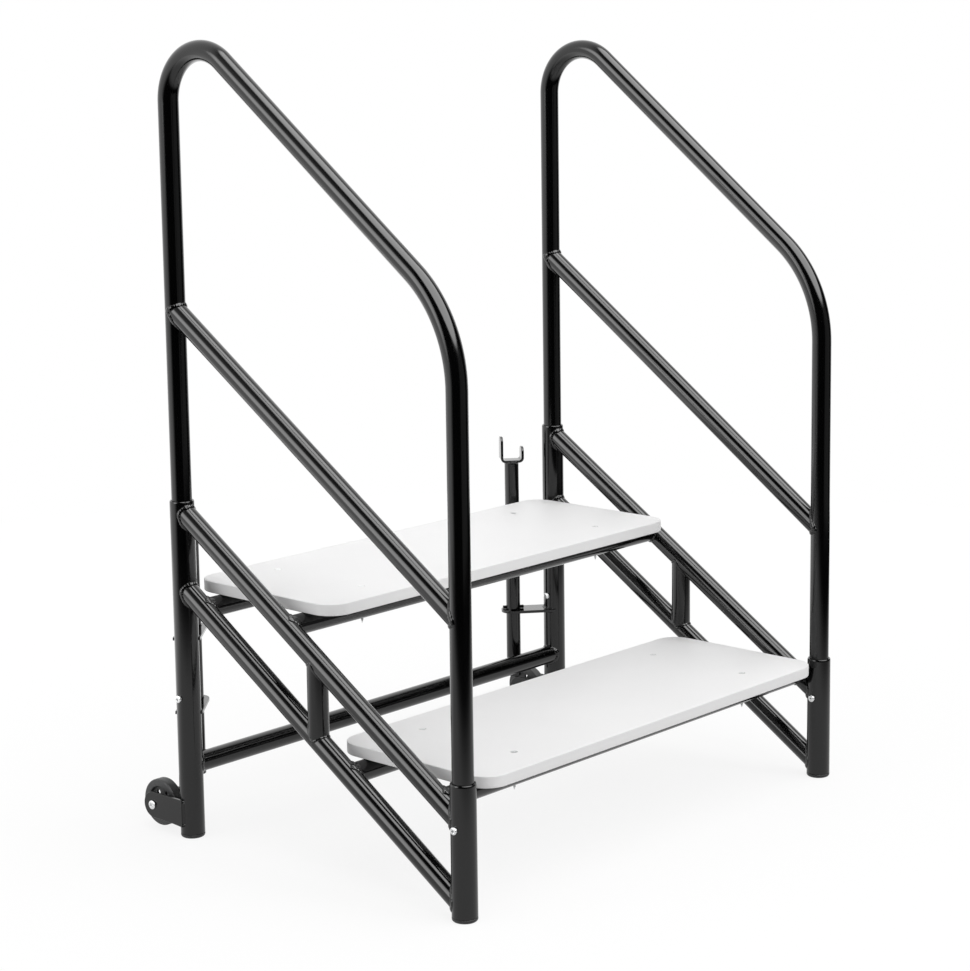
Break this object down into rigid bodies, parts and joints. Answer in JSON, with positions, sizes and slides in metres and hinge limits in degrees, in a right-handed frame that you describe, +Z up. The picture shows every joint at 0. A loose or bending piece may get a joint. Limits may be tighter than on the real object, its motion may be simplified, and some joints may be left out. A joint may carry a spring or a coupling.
{
  "type": "stage stairs",
  "caption": "Free-standing stage stairs: a black tube frame with pale treads, sloping handrails with mid rails, rear transport wheels and fork-topped posts that lift to a stage.",
  "frame": {"origin": "on the floor, midway between the two sides and midway between the lower tread's nose and the wheels' rear", "axes": "+X to the right for someone facing the stairs, +Y to the rear, towards the stage, +Z up"},
  "size_m": [0.9306, 0.7028, 1.2361],
  "materials": {
    "black_tube": "gloss black powder coat on steel tube and plate",
    "tread_board": "satin pale grey coating on board",
    "bright_zinc": "bright zinc plate",
    "wheel": "moulded dark grey plastic",
    "foot_cap": "satin black moulded plastic"
  },
  "bodies": {
    "frame": {"front_leg_left": "black_tube", "foot_cap_front_left": "foot_cap", "rail_screw_front_left": "bright_zinc", "rear_leg_left": "black_tube", "foot_cap_rear_left": "foot_cap", "rail_screw_rear_left": "bright_zinc", "upper_brace_left": "black_tube", "lower_brace_left": "black_tube", "strut_left": "black_tube", "handrail_left": "black_tube", "mid_rail_left": "black_tube", "wheel_plate_inner_left": "black_tube", "wheel_plate_outer_left": "black_tube", "lower_guide_left": "black_tube", "upper_guide_left": "black_tube", "axle_bolt_left": "bright_zinc", "axle_nut_left": "bright_zinc", "front_leg_right": "black_tube", "foot_cap_front_right": "foot_cap", "rail_screw_front_right": "bright_zinc", "rear_leg_right": "black_tube", "foot_cap_rear_right": "foot_cap", "rail_screw_rear_right": "bright_zinc", "upper_brace_right": "black_tube", "lower_brace_right": "black_tube", "strut_right": "black_tube", "handrail_right": "black_tube", "mid_rail_right": "black_tube", "wheel_plate_inner_right": "black_tube", "wheel_plate_outer_right": "black_tube", "lower_guide_right": "black_tube", "upper_guide_right": "black_tube", "axle_bolt_right": "bright_zinc", "axle_nut_right": "bright_zinc", "rear_cross_tube": "black_tube", "lower_front_support": "black_tube", "lower_rear_support": "black_tube", "lower_tread": "tread_board", "lower_tread_screw_front_left": "bright_zinc", "lower_tread_screw_rear_left": "bright_zinc", "lower_tread_screw_front_right": "bright_zinc", "lower_tread_screw_rear_right": "bright_zinc", "upper_front_support": "black_tube", "upper_rear_support": "black_tube", "upper_tread": "tread_board", "upper_tread_screw_front_left": "bright_zinc", "upper_tread_screw_rear_left": "bright_zinc", "upper_tread_screw_front_right": "bright_zinc", "upper_tread_screw_rear_right": "bright_zinc"},
    "hook_left": {"hook_post_left": "black_tube", "hook_fork_left": "black_tube", "stop_pin_left": "black_tube"},
    "hook_right": {"hook_post_right": "black_tube", "hook_fork_right": "black_tube", "stop_pin_right": "black_tube"},
    "wheel_left_body": {"wheel_left": "wheel"},
    "wheel_right_body": {"wheel_right": "wheel"}
  },
  "joints": [
    {"name": "wheel_left_spin", "type": "hinge", "parent": "frame", "child": "wheel_left_body", "pos_m": [-0.43815, 0.3139, 0.0424], "axis": [1, 0, 0], "continuous": true},
    {"name": "hook_left_lift", "type": "slide", "parent": "frame", "child": "hook_left", "axis": [0, 0, 1], "range_m": [0, 0.106]},
    {"name": "wheel_right_spin", "type": "hinge", "parent": "frame", "child": "wheel_right_body", "pos_m": [0.43815, 0.3139, 0.0424], "axis": [1, 0, 0], "continuous": true},
    {"name": "hook_right_lift", "type": "slide", "parent": "frame", "child": "hook_right", "axis": [0, 0, 1], "range_m": [0, 0.106]}
  ]
}
